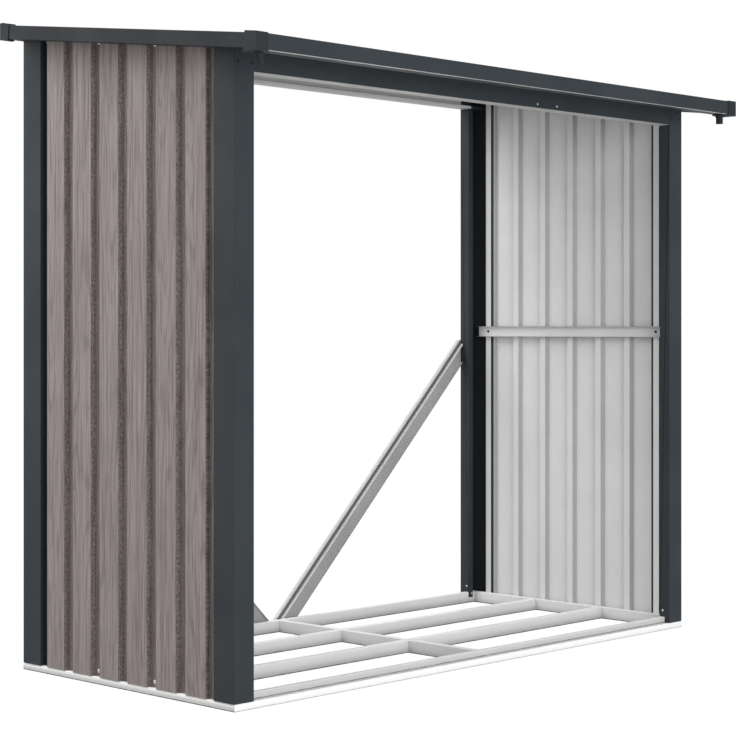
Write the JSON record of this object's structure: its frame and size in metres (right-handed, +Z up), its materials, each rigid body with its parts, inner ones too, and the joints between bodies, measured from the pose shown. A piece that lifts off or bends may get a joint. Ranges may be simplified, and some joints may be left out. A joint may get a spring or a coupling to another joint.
{
  "type": "sheet steel log store",
  "caption": "Open-fronted lean-to log store in folded sheet steel: wood-grain side walls, dark posts, sloping roof with front gutter, open floor frame and diagonal back braces.",
  "frame": {"origin": "on the ground under the middle of the roof's outline, on the underside of the floor's cross member", "axes": "+X to the right along the open front, +Y from the front to the back, +Z up"},
  "size_m": [1.936, 0.984, 1.691],
  "materials": {
    "floor_steel": "satin light grey coat on galvanised steel",
    "anthracite_steel": "matt anthracite coat",
    "woodgrain_steel": "matt printed grey-oak grain outside, light grey back coat inside",
    "light_grey_steel": "satin light grey coat",
    "roof_steel": "matt anthracite coat above, light grey back coat below",
    "cap_plastic": "moulded anthracite plastic"
  },
  "bodies": {
    "root": {"base_rail_front": "floor_steel", "base_rail_back": "floor_steel", "base_rail_left": "floor_steel", "base_rail_right": "floor_steel", "floor_cross_member": "floor_steel", "joist_front_left": "floor_steel", "joist_front_right": "floor_steel", "joist_back_left": "floor_steel", "joist_back_right": "floor_steel", "post_front_left": "anthracite_steel", "post_front_right": "anthracite_steel", "post_back_left": "anthracite_steel", "post_back_right": "anthracite_steel", "wall_panel_left": "woodgrain_steel", "wall_panel_right": "woodgrain_steel", "edge_strip_front_left": "light_grey_steel", "edge_strip_front_right": "light_grey_steel", "edge_strip_back_left": "light_grey_steel", "edge_strip_back_right": "light_grey_steel", "wall_rail_left": "light_grey_steel", "wall_rail_right": "light_grey_steel", "wall_top_angle_left": "light_grey_steel", "wall_top_angle_right": "light_grey_steel", "beam_front": "anthracite_steel", "beam_back": "anthracite_steel", "brace_left": "light_grey_steel", "brace_right": "light_grey_steel", "roof_sheet_left": "roof_steel", "roof_sheet_right": "roof_steel", "roof_trim_left": "anthracite_steel", "roof_trim_right": "anthracite_steel", "roof_trim_back": "anthracite_steel", "gutter_front": "anthracite_steel", "roof_cap_front_left": "cap_plastic", "roof_cap_front_right": "cap_plastic", "roof_cap_back_left": "cap_plastic", "roof_cap_back_right": "cap_plastic"}
  },
  "joints": []
}
